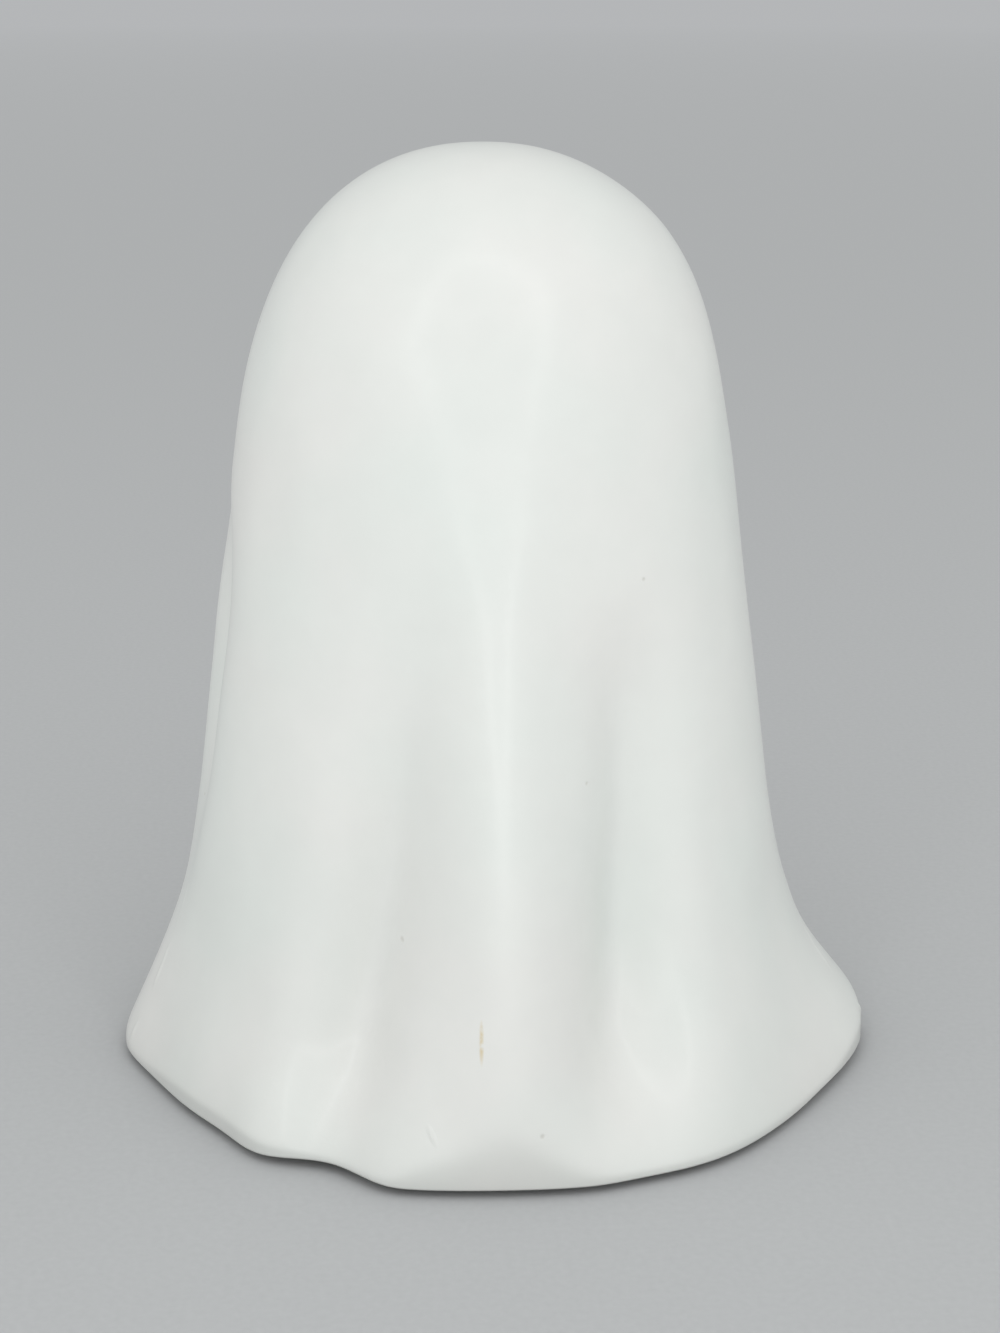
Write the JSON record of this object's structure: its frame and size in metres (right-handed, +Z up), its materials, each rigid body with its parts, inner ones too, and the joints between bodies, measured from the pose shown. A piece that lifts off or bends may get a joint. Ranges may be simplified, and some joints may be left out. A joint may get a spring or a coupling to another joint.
{
  "type": "ceramic ghost figure",
  "caption": "Hollow slip-cast ghost ornament: a white glazed sheet draped over a round head, folds to a flared hem, black oval eyes and mouth, felt dots under its foot.",
  "frame": {"origin": "on the table, under the middle of the figure's width and depth", "axes": "+Z up; the face looks along -Y and the plain back along +Y; +X is the ghost's own left"},
  "size_m": [0.1498, 0.1424, 0.179],
  "materials": {
    "white_glaze": "satin",
    "black_glaze": "gloss",
    "felt": "matte"
  },
  "bodies": {
    "root": {"ghost_shell": "white_glaze", "left_eye_glaze": "black_glaze", "right_eye_glaze": "black_glaze", "mouth_glaze": "black_glaze", "pad_back_left": "felt", "pad_back_right": "felt", "pad_front_left": "felt", "pad_front_right": "felt"}
  },
  "joints": []
}
